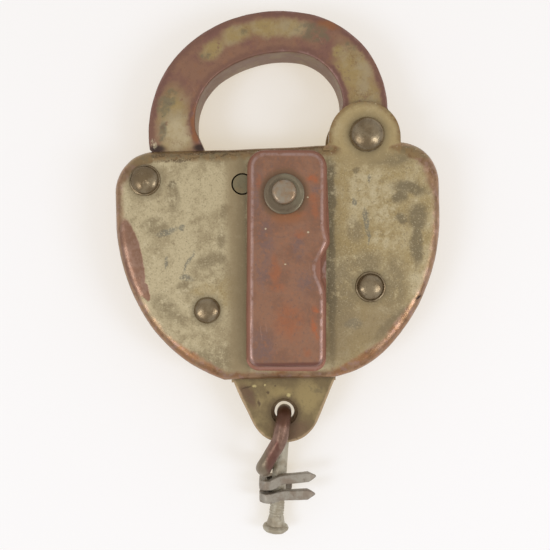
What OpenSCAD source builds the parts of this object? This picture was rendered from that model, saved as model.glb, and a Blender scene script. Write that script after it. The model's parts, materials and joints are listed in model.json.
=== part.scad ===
// Riveted switch padlock with a swinging dust cover, a chain lug and a bent nail hooked through it.
// The lock lies on its back: +Z is its front, +Y points to the shackle. Drawn from the middle of
// the case's bottom edge, then moved so that the origin is under the middle of the whole lock.

/* [Case] */
// Width of the case
case_w = 76.7; // [70:0.1:96]
// Height of the case from its flat bottom edge to its top edge
case_h = 54.5; // [52:0.5:66]
// Radius of the upper part of the case's round sides
side_r = 45; // [42:0.1:50]
// Height of the widest place of the case above its bottom edge
side_y = 38.2; // [36:0.1:40]
// Radius of the lower part of the left side
low_left_r = 35.2; // [32:0.1:40]
// Radius of the lower part of the right side
low_right_r = 25.9; // [24:0.1:32]
// Radius of the top left corner
corner_left_r = 9.6; // [6:0.1:11]
// Radius of the top right corner
corner_right_r = 9.8; // [8:0.1:12]
// Thickness of the front and back plates
plate_t = 1.8; // [1.4:0.1:2.2]
// Thickness of the front plate's turned-down side wall
wall_t = 1.8; // [1.4:0.1:2.2]
// Radius of the front plate's rolled rim
rim_r = 2.5; // [1.5:0.1:3]
// Radius of the back plate's worn edge
back_edge_r = 1.1; // [0.6:0.1:1.3]
// Radius of the ears that hold the shackle's pivot
ear_r = 8.4; // [8.2:0.1:10]

/* [Shackle] */
// Thickness of the shackle
shackle_t = 9.5; // [8:0.1:11.5]
// Space between the shackle and each plate
shackle_gap = 0.25; // [0.15:0.05:0.5]
// Shackle pivot, to the right of the case's middle
pivot_x = 21.3; // [19:0.1:23]
// Shackle pivot, above the case's top edge
pivot_rise = 2.5; // [2:0.1:4]
// Radius of the bow's outer curve at its top
bow_outer_r = 34.3; // [32:0.1:36]
// Radius of the bow's outer curve on its left side
bow_outer_left_r = 28.1; // [26:0.1:30]
// Radius of the bow's outer curve on its right side
bow_outer_right_r = 23.3; // [22:0.1:25]
// Radius of the bow's inner curve at its top
bow_inner_r = 27.1; // [25:0.1:29]
// Radius of the bow's inner curve on its left side
bow_inner_left_r = 14.1; // [13:0.1:15]
// Radius of the bow's inner curve on its right side
bow_inner_right_r = 12.6; // [12:0.1:13.5]
// Radius of the heel round the pivot
heel_r = 7.2; // [6:0.1:7.6]
// Width of the toe, across the arc that it swings on
toe_w = 12.4; // [9:0.1:13]
// Depth of the toe inside the case
toe_depth = 17.9; // [15:0.1:19]

/* [Rivets] */
// Radius of the case rivets' shanks
rivet_r = 1.6; // [1.2:0.1:1.8]
// Radius of the shackle rivet's shank
shackle_rivet_r = 3; // [2.4:0.1:3.3]
// Height of the case rivets' front heads
head_h = 1.6; // [1.2:0.1:1.7]
// Height of the shackle rivet's front head
shackle_head_h = 2.4; // [1.8:0.1:2.8]
// Height of the flattened heads on the back
back_head_h = 1.2; // [0.9:0.1:1.6]

/* [Dust cover] */
// Width of the dust cover
cover_w = 18.4; // [17:0.1:22]
// Length of the cover above its rivet
cover_above = 10; // [8:0.5:11]
// Length of the cover below its rivet
cover_below = 41; // [36:0.5:43]
// Thickness of the cover
cover_t = 2.4; // [2:0.1:3]
// Space under the cover, which clears the case rivets' heads
cover_gap = 1.9; // [1.8:0.1:2.6]
// Angle that the cover hangs at
cover_lean = -1.6; // [-3:0.1:3]
// Radius of the cover rivet's shank
cover_rivet_r = 2; // [1.5:0.1:2.4]
// Thickness of the washer under the cover rivet's head
washer_t = 0.8; // [0.5:0.1:1.2]

/* [Chain lug] */
// Thickness of the lug plate
lug_t = 3.2; // [2.6:0.1:3.6]
// Underside of the lug above what the lock lies on
lug_z = 7.2; // [7:0.1:7.8]
// Distance of the lug's hole below the case
lug_hole_drop = 8.35; // [7.5:0.1:11]
// Radius of the lug's hole
lug_hole_r = 2.45; // [2.3:0.05:3.2]
// Radius of the lug's round end
lug_end_r = 8.6; // [7:0.1:9]
// Half of the lug's width where it leaves the case
lug_half_w = 12.5; // [11:0.1:13]

/* [Lock work] */
// Travel of the bolt
bolt_travel = 4.8; // [4:0.1:4.8]
// Height of the bolt across its travel
bolt_h = 7; // [6:0.1:7.4]
// Thickness of the bolt
bolt_t = 4; // [3.4:0.1:4.1]
// Number of levers
lever_count = 3; // [1:1:3]
// Thickness of a lever
lever_t = 1.5; // [1.2:0.1:1.5]
// Radius of the levers' post
lever_post_r = 2; // [1.6:0.1:2.4]
// Angle that the first lever drops by when the bolt is thrown
first_drop = 4; // [3:0.5:5]
// Extra drop of each further lever
drop_step = 1; // [0:0.25:1]
// Radius of the key's post
key_post_r = 1.5; // [1.2:0.1:1.8]

/* [Nail and wire] */
// Diameter of the nail's shank
nail_d = 3.5; // [3.1:0.1:4.2]
// Diameter of the nail's head
nail_head_d = 6.4; // [5.5:0.1:6.4]
// Distance of the nail's domed end below the case
nail_reach = 39.8; // [38:0.1:44]
// Width of the wire staple's square wire
wire_w = 2.3; // [1.8:0.1:2.4]
// Thickness of the wire staple's wire
wire_t = 1.9; // [1.6:0.1:1.9]

/* [Hidden] */
$fn = 64;

// Fits: a riveted shank, a running shaft, a flat running face, and a cut that goes right through
rivet_fit = 0.02;
running_fit = 0.06;
face_gap = 0.05;
through = 1;

// Levels of the case, from the surface that it lies on
back_z0 = back_head_h;
back_z1 = back_z0 + plate_t;
cavity_h = shackle_t + 2 * shackle_gap;
front_z0 = back_z1 + cavity_h;
front_z1 = front_z0 + plate_t;

// The top edge climbs from rise_start to the right shoulder, and the shackle's heel swings under it
shoulder_rise = 1;
rise_start = -12;

// Places of the rivets and posts
pivot = [pivot_x, case_h + pivot_rise];
ear_at = pivot - [0.5, 0.5];
heel_room = 8.7;
heel_far_room = heel_room + shoulder_rise + 0.8;
top_left_at = [-case_w / 2 + 7.35, case_h - 7];
lower_left_at = [-17.1, 16.7];
lower_right_at = [21.3, 21.3];
cover_at = [1.5, case_h - 11.1];
guide_at = [-8.2, case_h - 8.4];
spring_post_at = [6.5, guide_at[1]];
lever_at = [17.5, case_h - 19.9];
key_at = [1.5, case_h - 32.9];
lug_hole_at = [0.5, -lug_hole_drop];
lug_end_at = lug_hole_at + [0.1, 1.25];
side_low_r = [low_left_r, low_right_r];
side_turn = [31, 42];
case_rivets = [top_left_at, lower_left_at, lower_right_at];

// Bow: its left curve, top curve and right curve meet smoothly where they have turned by these angles
outer_turns = [118.6, 76.7];
outer_left_at = [bow_outer_left_r - 30.3, case_h + 3.95];
outer_top_at = outer_left_at + (bow_outer_left_r - bow_outer_r) * polar(outer_turns[0]);
outer_right_at = outer_top_at + (bow_outer_r - bow_outer_right_r) * polar(outer_turns[1]);
inner_turns = [123.5, 84.7];
inner_left_at = [bow_inner_left_r - 19.2, case_h + 6.7];
inner_top_at = inner_left_at + (bow_inner_left_r - bow_inner_r) * polar(inner_turns[0]);
inner_right_at = inner_top_at + (bow_inner_r - bow_inner_right_r) * polar(inner_turns[1]);

// Toe: a ring sector about the pivot, so that it swings out through its throat
toe_outer_r = pivot_x + bow_outer_left_r - outer_left_at[0] - 0.6;
toe_inner_r = toe_outer_r - toe_w;
toe_end_y = case_h - toe_depth;
toe_stand = 0.5;
throat_gap = 0.45;
throat = [pivot_x - toe_outer_r - throat_gap, pivot_x - toe_inner_r + throat_gap];

// Overall length, from the top of the bow to the end of the nail
bow_top = outer_top_at[1] + bow_outer_r;
middle_y = (bow_top - nail_reach) / 2;

// Dust cover
cover_z0 = front_z1 + cover_gap;
cover_z1 = cover_z0 + cover_t;
cover_shift = 0.7;
cover_edge_r = 1.5;
cover_corner_top_r = 4;
cover_corner_low_r = 3;
lip_w = 1;
lip_t = 0.75;
notch_at = -17.4;
notch_depth = 1.9;
swell_at = -11;
swell = 0.8;
washer_r = 4.65;
washer_sag = 0.35;

// Lock work
bolt_z0 = back_z1 + 0.2;
bolt_z1 = bolt_z0 + bolt_t;
bolt_tip_x = pivot_x - toe_inner_r + 4;
bolt_tail_x = spring_post_at[0] + bolt_travel + 3.7;
bolt_low_y = key_at[1] + 6;
slot_r = 1.55;
guide_r = 1.4;
guide_head_r = 2.2;
guide_hole_r = 2.55;
stump_r = 1.1;
stump_at = [-2.5, case_h - 16.9];
gate_gap = 0.3;
lever_z0 = bolt_z1 + 0.3;
lever_pitch = lever_t + 0.2;
lever_hub_r = 4;
post_top_z = front_z0 - 0.1;
spring_t = 0.4;
spring_root = lever_at + [-3, 5];
key_reach = 9;

// Nail and wire
nail_r = nail_d / 2;
nail_head_r = nail_head_d / 2;
nail_over_lug = lug_z + lug_t + nail_r + 0.35;
nail_under_lug = lug_z - nail_r - 0.25;
nail_eye = [lug_hole_at[0], lug_hole_at[1] - 0.3, 0];

// The nail lies on its head, or higher where a thick shank has to clear the wire under it
wrap_run = 11.5;
wrap_share = wrap_run / (nail_reach + nail_eye[1]);
nail_on_wire = (wire_t + nail_r + face_gap - wrap_share * nail_under_lug) / (1 - wrap_share);
nail_head_at = [nail_eye[0] - 2.92, -nail_reach, max(nail_head_r, nail_on_wire)];
nail_along = unit(nail_eye + [0, 0, nail_under_lug] - nail_head_at);
eye_r = 2.8;

function polar(a) = [cos(a), sin(a)];
function unit(v) = v / norm(v);
function arc(c, r, a0, a1, step = 3, count = 0) =
    let (n = count > 0 ? count : max(2, ceil(abs(a1 - a0) / step)))
    [for (k = [0 : n]) c + r * polar(a0 + (a1 - a0) * k / n)];
function reversed(v) = [for (k = [len(v) - 1 : -1 : 0]) v[k]];
function capsule(p, q, r) =
    let (a = atan2(q[1] - p[1], q[0] - p[0]))
    concat(arc(q, r, a - 90, a + 90, 6), arc(p, r, a + 90, a + 270, 6));

// One side of the case, from the bottom edge up: its lower curve, then its upper curve
function side_pts(inset, k) =
    let (r = side_low_r[k], turn = side_turn[k], up = [case_w / 2 - side_r, side_y],
         down = up + (side_r - r) * polar(-turn), low = asin((down[1] - inset) / (r - inset)),
         step = turn / 12)
    concat(arc(down, r - inset, -low, -turn, 3, 12), arc(up, side_r - inset, step - turn, 0, 3, 11));

// Case outline, drawn in by inset: round sides, two corners and a flat bottom
function case_pts(inset) =
    let (half = case_w / 2)
    concat(side_pts(inset, 1),
           arc([half - corner_right_r, case_h + shoulder_rise - corner_right_r], corner_right_r - inset,
               0, 90, 3, 18),
           [[rise_start, case_h - inset]],
           arc([corner_left_r - half, case_h - corner_left_r], corner_left_r - inset, 90, 180, 3, 16),
           [for (p = reversed(side_pts(inset, 0))) [-p[0], p[1]]]);

module in_place() translate([0, -middle_y, 0]) children();

module plate(z0, z1) translate([0, 0, z0]) linear_extrude(z1 - z0) children();

module hole(p, r, z0 = -through, z1 = 40) translate([p[0], p[1], z0]) cylinder(r = r, h = z1 - z0);

// Solid between outlines of equal count, each [points, z], from the lowest to the highest
module loft(levels) {
    n = len(levels[0][0]);
    last = len(levels) - 1;
    polyhedron([for (v = levels) for (p = v[0]) [p[0], p[1], v[1]]], concat(
        [[for (s = [0 : n - 1]) s]],
        [for (k = [0 : last - 1]) for (s = [0 : n - 1]) let (i = k * n + s, j = k * n + (s + 1) % n)
            each [[i, j + n, j], [i, i + n, j + n]]],
        [[for (s = [n - 1 : -1 : 0]) last * n + s]]));
}

// Height and inset of each step of a rounded edge of radius r
function round_steps(r, steps = 6) =
    [for (k = [0 : steps]) let (a = 90 * k / steps) [r * sin(a), r * (1 - cos(a))]];

module ear(z0, z1) {
    fillet = 1.5;
    left = ear_at[0] - ear_r;
    plate(z0, z1) {
        translate(ear_at) circle(ear_r);
        translate([left, case_h - 4]) square([2 * ear_r, ear_at[1] - case_h + 4]);
        difference() {
            translate([left - fillet, case_h - 1]) square([fillet + 1, fillet + 1]);
            translate([left - fillet, case_h + fillet]) circle(fillet);
        }
    }
}

module dome(r, h) {
    ball = (r * r + h * h) / (2 * h);
    intersection() {
        translate([0, 0, h - ball]) sphere(ball);
        cylinder(r = r, h = h);
    }
}

// Back head: a low dome hammered flat where it touches the surface
module back_head(p, r) {
    full_h = back_head_h + 0.3;
    ball = (r * r + full_h * full_h) / (2 * full_h);
    translate([p[0], p[1], 0]) intersection() {
        translate([0, 0, back_z0 - full_h + ball]) sphere(ball);
        cylinder(r = r, h = back_z0);
    }
}

module case_rivet(p, head_r) {
    translate([p[0], p[1], back_z0]) cylinder(r = rivet_r, h = front_z1 - back_z0);
    translate([p[0], p[1], front_z1]) {
        cylinder(r = head_r, h = 0.3);
        translate([0, 0, 0.3]) dome(head_r - 0.3, head_h - 0.3);
    }
    back_head(p, head_r - 0.2);
}

module spacer(p, z0, z1) {
    difference() {
        hole(p, rivet_r + 1.6, z0, z1);
        hole(p, rivet_r + rivet_fit);
    }
}

// Front plate: a pan with a rolled rim, its side wall and its ear
module front_plate() color("darkkhaki") in_place() difference() {
    union() {
        loft(concat([[case_pts(0), back_z1]],
                    [for (s = round_steps(rim_r)) [case_pts(s[1]), front_z1 - rim_r + s[0]]]));
        ear(front_z0, front_z1);
    }
    plate(back_z1 - through, front_z0) polygon(case_pts(wall_t));
    plate(back_z1 - through, front_z0) {
        translate([throat[0], case_h - 4]) square([throat[1] - throat[0], 8]);
        translate([pivot[0] - heel_room, case_h - 4]) square([heel_room + heel_far_room, 8]);
    }
    plate(lug_z - face_gap, lug_z + lug_t + face_gap)
        translate([lug_hole_at[0] - lug_half_w - 0.4, -4]) square([2 * lug_half_w + 0.8, 8]);
    for (p = case_rivets) hole(p, rivet_r + rivet_fit);
    hole(pivot, shackle_rivet_r + rivet_fit);
    hole(cover_at, cover_rivet_r + rivet_fit);
    hole(guide_at, guide_hole_r);
    hole(key_at, 3.6);
    plate(front_z0 - through, front_z1 + through)
        translate([key_at[0] - 1.3, key_at[1] - key_reach]) square([2.6, key_reach]);
}

// Back plate: flat, with its own ear
module back_plate() color("tan") in_place() difference() {
    union() {
        loft(concat([for (s = reversed(round_steps(back_edge_r, 4)))
                         [case_pts(s[1]), back_z0 + back_edge_r - s[0]]],
                    [[case_pts(0), back_z1]]));
        ear(back_z0, back_z1);
    }
    for (p = case_rivets) hole(p, rivet_r + rivet_fit);
    hole(pivot, shackle_rivet_r + rivet_fit);
    for (p = [guide_at, spring_post_at]) hole(p, guide_r + rivet_fit);
    hole(lever_at, lever_post_r + rivet_fit);
    hole(key_at, key_post_r + rivet_fit);
}

// Chain lug: a tapered tongue with two arms that the lower rivets hold inside the case
module chain_lug() color("olivedrab") in_place() difference() {
    plate(lug_z, lug_z + lug_t) {
        polygon(lug_pts());
        translate([lug_hole_at[0] - lug_half_w, -1]) square([2 * lug_half_w, 9]);
        for (side = [[-1, lower_left_at], [1, lower_right_at]])
            polygon(capsule([lug_hole_at[0] + side[0] * (lug_half_w - 5), 5], side[1], 4.8));
    }
    hole(lower_left_at, rivet_r + rivet_fit);
    hole(lower_right_at, rivet_r + rivet_fit);
    hole(lug_hole_at, lug_hole_r);
    translate([lug_hole_at[0], lug_hole_at[1], lug_z + lug_t - 0.8])
        cylinder(r1 = lug_hole_r, r2 = lug_hole_r + 0.8, h = 0.81);
}

// Tongue: its straight sides touch the round end
function lug_pts() =
    let (w = [lug_half_w, -lug_end_at[1]], reach = norm(w),
         touch = atan2(w[1], w[0]) - acos(lug_end_r / reach))
    concat([lug_end_at + [-w[0], w[1]]],
           arc(lug_end_at, lug_end_r, 180 - touch, 360 + touch),
           [lug_end_at + w]);

module lug_spacers_back() color("peru") in_place()
    for (p = [lower_left_at, lower_right_at]) spacer(p, back_z1, lug_z);

module lug_spacers_front() color("peru") in_place()
    for (p = [lower_left_at, lower_right_at]) spacer(p, lug_z + lug_t, front_z0);

// Shackle outline: heel, outer curves, toe, inner curves
function shackle_pts() =
    let (foot_y = case_h + toe_stand,
         foot = 180 + asin((outer_left_at[1] - foot_y) / bow_outer_left_r),
         toe_top = asin((pivot_rise - toe_stand + 0.4) / toe_outer_r),
         outer_low = asin((pivot[1] - toe_end_y) / toe_outer_r),
         inner_low = asin((pivot[1] - toe_end_y) / toe_inner_r),
         inner_top = asin((pivot_rise - toe_stand) / toe_inner_r))
    concat(arc(pivot, heel_r, 150, 380),
           arc(outer_right_at, bow_outer_right_r, 0, outer_turns[1]),
           arc(outer_top_at, bow_outer_r, outer_turns[1] + 2, outer_turns[0]),
           arc(outer_left_at, bow_outer_left_r, outer_turns[0] + 3, foot),
           arc(pivot, toe_outer_r, 180 + toe_top, 180 + outer_low),
           arc(pivot, toe_inner_r, 180 + inner_low, 180 + inner_top),
           arc(inner_left_at, bow_inner_left_r, 188, inner_turns[0]),
           arc(inner_top_at, bow_inner_r, inner_turns[0] - 2, inner_turns[1]),
           arc(inner_right_at, bow_inner_right_r, inner_turns[1] - 3, 0));

module shackle() color("rosybrown") in_place() difference() {
    plate(back_z1 + shackle_gap, front_z0 - shackle_gap) polygon(shackle_pts());
    hole(pivot, shackle_rivet_r + running_fit);
    notch_h = bolt_h + 0.8;
    plate(back_z1 - through, front_z0 + through)
        translate([bolt_tip_x - bolt_travel - 0.7, guide_at[1] - notch_h / 2]) square([12, notch_h]);
}

module shackle_rivet() color("dimgray") in_place() {
    difference() {
        union() {
            translate([pivot[0], pivot[1], back_z0]) cylinder(r = shackle_rivet_r, h = front_z1 - back_z0);
            translate([pivot[0], pivot[1], front_z1]) dome(4.1, shackle_head_h);
        }
        translate([pivot[0] + 0.4, pivot[1] + 0.2, front_z1 + shackle_head_h + 0.9]) sphere(1.3);
    }
    back_head(pivot, 4);
}

module rivet_top_left() color("dimgray") in_place() case_rivet(top_left_at, 3.7);

module rivet_lower_left() color("dimgray") in_place() case_rivet(lower_left_at, 3.1);

module rivet_lower_right() color("dimgray") in_place() case_rivet(lower_right_at, 3.6);

// Right edge of the cover: it swells a little, then dips in the thumb notch
function edge_wave(y) =
    swell * exp(-pow((y - swell_at) / 2.2, 2)) - notch_depth * exp(-pow((y - notch_at) / 3.1, 2));
function edge_pt(y, inset) =
    let (slope = (edge_wave(y + 0.05) - edge_wave(y - 0.05)) / 0.1)
    [cover_shift + cover_w / 2 + edge_wave(y), y] - inset * unit([1, -slope]);

// Cover outline about its own rivet, drawn in by inset
function cover_pts(inset, low_end) =
    let (half = cover_w / 2 - inset, top = cover_above - inset, low = -low_end + inset,
         rt = cover_corner_top_r - inset, rl = cover_corner_low_r - inset)
    concat(arc([cover_shift + half - rt, top - rt], rt, 0, 90, 9),
           arc([cover_shift - half + rt, top - rt], rt, 90, 180, 9),
           arc([cover_shift - half + rl, low + rl], rl, 180, 270, 9),
           arc([cover_shift + half - rl, low + rl], rl, 270, 360, 9),
           [for (y = [-24 : 1 : -6]) edge_pt(y, inset)]);

module dust_cover() color("sienna") in_place()
    translate([cover_at[0], cover_at[1], 0]) rotate([0, 0, cover_lean]) difference() {
        loft(concat([[cover_pts(0, cover_below), cover_z0],
                     [cover_pts(0, cover_below), cover_z0 + lip_t]],
                    [for (s = round_steps(cover_edge_r)) [cover_pts(s[1], cover_below - lip_w),
                                                          cover_z1 - cover_edge_r + s[0]]]));
        hole([0, 0], cover_rivet_r + running_fit);
    }

module cover_spacer() color("peru") in_place() difference() {
    hole(cover_at, cover_rivet_r + 2.4, front_z1, cover_z0 - face_gap);
    hole(cover_at, cover_rivet_r + rivet_fit);
}

module cover_washer() color("gray") in_place() difference() {
    hole(cover_at - [0, washer_sag], washer_r, cover_z1 + face_gap, cover_z1 + face_gap + washer_t);
    hole(cover_at, cover_rivet_r + rivet_fit);
}

module cover_rivet() color("gray") in_place() translate([cover_at[0], cover_at[1], 0]) {
    head_z = cover_z1 + face_gap + washer_t;
    translate([0, 0, front_z0 - 0.3]) cylinder(r = cover_rivet_r, h = head_z - front_z0 + 0.3);
    translate([0, 0, front_z0 - 0.4]) cylinder(r = cover_rivet_r + 0.8, h = 0.4);
    translate([0, 0, head_z]) {
        cylinder(r = 2.85, h = 0.7);
        translate([0, 0, 0.7]) cylinder(r1 = 2.85, r2 = 2.2, h = 0.6);
    }
}

// Bolt: a bar with two guide slots, a nose for the shackle's toe and a web with the key's talon
module bolt() color("goldenrod") in_place() difference() {
    plate(bolt_z0, bolt_z1) {
        translate([bolt_tip_x, guide_at[1] - bolt_h / 2]) square([bolt_tail_x - bolt_tip_x, bolt_h]);
        translate([key_at[0] - 7, bolt_low_y]) square([13.5, guide_at[1] - bolt_low_y]);
    }
    for (p = [guide_at, spring_post_at]) {
        hole(p, slot_r);
        hole(p + [bolt_travel, 0], slot_r);
        plate(bolt_z0 - through, bolt_z1 + through)
            translate([p[0], p[1] - slot_r]) square([bolt_travel, 2 * slot_r]);
    }
    plate(bolt_z0 - through, bolt_z1 + through)
        translate([key_at[0] - 2.5, bolt_low_y - 1]) square([5, 5]);
    hole(stump_at, stump_r + rivet_fit);
}

module bolt_stump() color("gold") in_place()
    hole(stump_at, stump_r, bolt_z0, lever_z0 + lever_count * lever_pitch);

module guide_post() color("darkgray") in_place() {
    hole(guide_at, guide_r, back_z0, bolt_z1 + 0.2);
    hole(guide_at, guide_head_r, bolt_z1 + 0.2, front_z1);
}

module spring_post() color("darkgray") in_place() hole(spring_post_at, guide_r, back_z0, post_top_z);

module lever_post() color("darkgray") in_place() hole(lever_at, lever_post_r, back_z0, post_top_z);

module lever_collar() color("darkgray") in_place() difference() {
    hole(lever_at, lever_post_r + 1.4, back_z1, lever_z0 - face_gap);
    hole(lever_at, lever_post_r + rivet_fit);
}

// Where the stump ends in a lever's own frame, when the bolt is thrown and the lever has dropped
function stump_end(drop) =
    let (d = stump_at - [bolt_travel, 0] - lever_at)
    lever_at + [d[0] * cos(drop) + d[1] * sin(drop), d[1] * cos(drop) - d[0] * sin(drop)];

// Lever: hub, arm, key belly, and a gate that opens into a pocket with its tooth cut on the slant
module lever(number) {
    drop = first_drop + drop_step * (number - 1);
    z0 = lever_z0 + (number - 1) * lever_pitch;
    end = stump_end(drop);
    room = stump_r + gate_gap;
    left = end[0] - room - 1.6;
    top = stump_at[1] + 5.2;
    difference() {
        plate(z0, z0 + lever_t) {
            translate(lever_at) circle(lever_hub_r);
            polygon([[left, stump_at[1] - 3], [-2, stump_at[1] - 3.4 - 0.4 * number],
                     [key_at[0] + 4, stump_at[1] - 3.4 - 0.4 * number], [10, lever_at[1] - 2.5],
                     [lever_at[0], lever_at[1] - lever_hub_r], lever_at + [lever_hub_r, 0],
                     lever_at + [0, lever_hub_r + 1.6], [9, top - 1.5], [2, top], [left, top]]);
        }
        hole(lever_at, lever_post_r + running_fit);
        hole(stump_at, room);
        hole(end, room);
        plate(z0 - through, z0 + lever_t + through) {
            polygon([stump_at + [0, -room], stump_at + [0, room], end + [0, room + 0.1],
                     end + [-room, room + 0.1], end + [-room, -room], [end[0], stump_at[1] - room]]);
            translate(spring_root - [0.3, 1.9]) square([0.6, 9]);
        }
    }
}

// Leaf spring: rooted in a slit in the lever and bent up to the spring post
module lever_spring(number) {
    z0 = lever_z0 + (number - 1) * lever_pitch + 0.15;
    tip = spring_post_at + [0.6, -guide_r - face_gap - spring_t / 2];
    knee = [spring_root[0], tip[1] - 0.2];
    curve = concat([spring_root - [0, 1.8]],
                   [for (k = [0 : 8]) let (t = k / 8)
                       (1 - t) * (1 - t) * spring_root + 2 * t * (1 - t) * knee + t * t * tip],
                   [tip - [1.6, 0]]);
    color("slategray") in_place() plate(z0, z0 + lever_t - 0.3) polygon(ribbon(curve, spring_t / 2));
}

// Closed outline of a ribbon of half width w along a line of points
function side_of(c, k) =
    let (a = c[max(k - 1, 0)], b = c[min(k + 1, len(c) - 1)], d = unit(b - a)) [-d[1], d[0]];
function ribbon(c, w) =
    concat([for (k = [0 : len(c) - 1]) c[k] + w * side_of(c, k)],
           [for (k = [len(c) - 1 : -1 : 0]) c[k] - w * side_of(c, k)]);

module lever_1() color("khaki") in_place() lever(1);
module lever_2() color("khaki") in_place() lever(2);
module lever_3() color("khaki") in_place() lever(3);
module lever_spring_1() lever_spring(1);
module lever_spring_2() lever_spring(2);
module lever_spring_3() lever_spring(3);

module key_post() color("darkgray") in_place() {
    hole(key_at, key_post_r, back_z0, post_top_z);
    hole(key_at, key_post_r + 1, back_z1, back_z1 + 0.8);
}

// A path's points with its corners rounded: corners holds [point, bend radius]
function bent_path(corners) =
    concat([corners[0][0]],
           [for (k = [1 : len(corners) - 2]) each
               bend(corners[k - 1][0], corners[k][0], corners[k + 1][0], corners[k][1])],
           [corners[len(corners) - 1][0]]);
function bend(a, b, c, r) =
    let (u = unit(a - b), v = unit(c - b), half = acos(u * v) / 2, run = r / tan(half),
         centre = b + unit(u + v) * r / sin(half), turn = 180 - 2 * half,
         n = max(2, ceil(turn / 12)), x = unit(b + u * run - centre))
    [for (k = [0 : n]) let (t = turn * k / n) centre + r * (cos(t) * x - sin(t) * u)];

// Cross directions carried along the path without twist
function tangent(p, k) = unit(p[min(k + 1, len(p) - 1)] - p[max(k - 1, 0)]);
function carried(p, k, n) =
    k == 0 ? [n] :
    let (before = carried(p, k - 1, n), last = before[k - 1], t = tangent(p, k))
    concat(before, [unit(last - (last * t) * t)]);

// Solid along a path: size gives each ring's half width and half height; square has 4 sides
module swept(p, first_normal, size, sides, turn = 0) {
    normals = carried(p, len(p) - 1, first_normal);
    rings = [for (k = [0 : len(p) - 1]) let (n = normals[k], b = cross(tangent(p, k), n))
        for (s = [0 : sides - 1]) let (a = 360 * s / sides + turn)
            p[k] + size[k][0] * cos(a) * n + size[k][1] * sin(a) * b];
    last = (len(p) - 1) * sides;
    polyhedron(rings, concat(
        [[for (s = [sides - 1 : -1 : 0]) s]],
        [for (k = [0 : len(p) - 2]) for (s = [0 : sides - 1])
            let (i = k * sides + s, j = k * sides + (s + 1) % sides)
            each [[i, j, j + sides], [i, j + sides, i + sides]]],
        [[for (s = [0 : sides - 1]) last + s]]));
}

// Nail: head on the surface, ringed shank under the lug, up through the hole and down the front
module bent_nail() color("saddlebrown") in_place() {
    head_steps = [[0, 0.18], [0.25, 0.5], [0.7, 0.8], [1.2, 0.97], [1.6, 1], [2, 0.92], [2.3, 0.7]];
    ring_steps = [for (k = [0 : 6]) each [[4.4 + 0.7 * k, nail_r], [4.75 + 0.7 * k, nail_r - 0.16]]];
    shank_steps = concat([[2.6, nail_r + 0.45], [3.6, nail_r + 0.15]], ring_steps, [[9.6, nail_r]]);
    over = nail_eye + [0, 0, nail_over_lug];
    bends = bent_path([[nail_head_at + 10 * nail_along, 0], [nail_eye + [0, 0, nail_under_lug], eye_r],
                       [over, eye_r], [over + [-1.25, -6.1, 0], 6], [over + [-5.4, -13, -0.9], 2.6],
                       [nail_eye + [-4.7, -14.2, 2.9], 0]]);
    points = concat([for (s = head_steps) nail_head_at + s[0] * nail_along],
                    [for (s = shank_steps) nail_head_at + s[0] * nail_along], bends,
                    [bends[len(bends) - 1] + [0.05, -0.1, -0.9]]);
    radii = concat([for (s = head_steps) s[1] * nail_head_r], [for (s = shank_steps) s[1]],
                   [for (b = bends) nail_r], [nail_r * 0.55]);
    swept(points, unit(cross([1, 0, 0], nail_along)), [for (r = radii) [r, r]], 20);
}

// Wire staple: its crown lies under the nail, and both legs wrap round its left side to the front
module wire_staple() color("gray") in_place() {
    wrap = nail_head_at + wrap_run * nail_along;
    low = wire_t / 2;
    high = wrap[2] + nail_r + wire_t / 2 + 0.32;
    corners = [[9.05, -0.8, high, 0], [0.95, -0.9, high, 5], [-1.8, -1.6, high, 1.5],
               [-3.8, -1.6, high, 1.3], [-3.8, -1.6, low, 1.4], [2.3, -1.6, low, 1.4],
               [2.3, 1.6, low, 1.4], [-3.8, 1.6, low, 1.4], [-3.8, 1.6, high, 1.3],
               [-1.8, 1.6, high, 1.5], [0.65, 2.9, high, 5], [9.35, 3.6, high, 0]];
    path = bent_path([for (c = corners) [[wrap[0] + c[0], wrap[1] + c[1], c[2]], c[3]]]);
    n = len(path) - 1;
    first = unit(path[0] - path[1]);
    final = unit(path[n] - path[n - 1]);
    point_l = 2;
    points = concat([path[0], path[0] - point_l * first], [for (k = [1 : n - 1]) path[k]],
                    [path[n] - point_l * final, path[n]]);
    full = [wire_t, wire_w] / sqrt(2);
    sharp = [0.35, 0.35];
    swept(points, [0, 0, 1], concat([sharp], [for (k = [1 : len(points) - 2]) full], [sharp]), 4, 45);
}

front_plate();
back_plate();
chain_lug();
lug_spacers_back();
lug_spacers_front();
shackle();
shackle_rivet();
rivet_top_left();
rivet_lower_left();
rivet_lower_right();
dust_cover();
cover_spacer();
cover_washer();
cover_rivet();
bolt();
bolt_stump();
guide_post();
spring_post();
lever_post();
lever_collar();
lever_1();
lever_2();
lever_3();
lever_spring_1();
lever_spring_2();
lever_spring_3();
key_post();
bent_nail();
wire_staple();
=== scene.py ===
import json
import math
import random

import bpy
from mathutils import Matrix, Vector, kdtree, noise

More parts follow.
